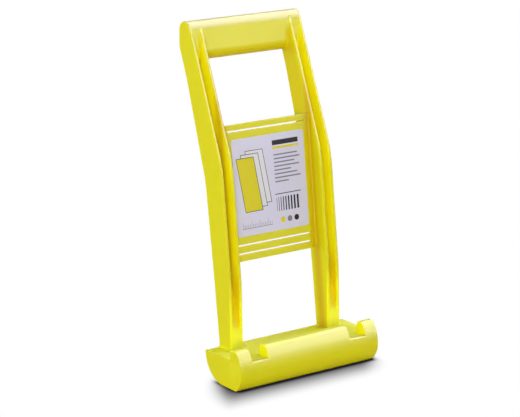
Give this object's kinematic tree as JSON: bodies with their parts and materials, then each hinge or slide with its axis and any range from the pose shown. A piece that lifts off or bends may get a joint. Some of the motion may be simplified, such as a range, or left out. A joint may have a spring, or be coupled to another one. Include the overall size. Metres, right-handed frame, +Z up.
{
  "type": "panel carrier",
  "caption": "Hand-held carrier for sheets of board: a grip above leaning side rails with a label plate, on a hooked foot whose trough holds the sheet's edge.",
  "frame": {"origin": "middle of the flat sole that the foot stands on", "axes": "+X along the foot to the right as seen from the front, +Y to the back, where the grip leans, +Z up"},
  "size_m": [0.182, 0.1345, 0.368],
  "materials": {
    "yellow_plastic": "satin",
    "label_paper": "satin"
  },
  "bodies": {
    "root": {"left_side_rail": "yellow_plastic", "right_side_rail": "yellow_plastic", "handle_grip": "yellow_plastic", "upper_slat": "yellow_plastic", "label_plate": "yellow_plastic", "middle_slat": "yellow_plastic", "lower_slat": "yellow_plastic", "foot": "yellow_plastic", "foot_ribs": "yellow_plastic", "left_lip": "yellow_plastic", "middle_lip": "yellow_plastic", "right_lip": "yellow_plastic", "label": "label_paper"}
  },
  "joints": []
}
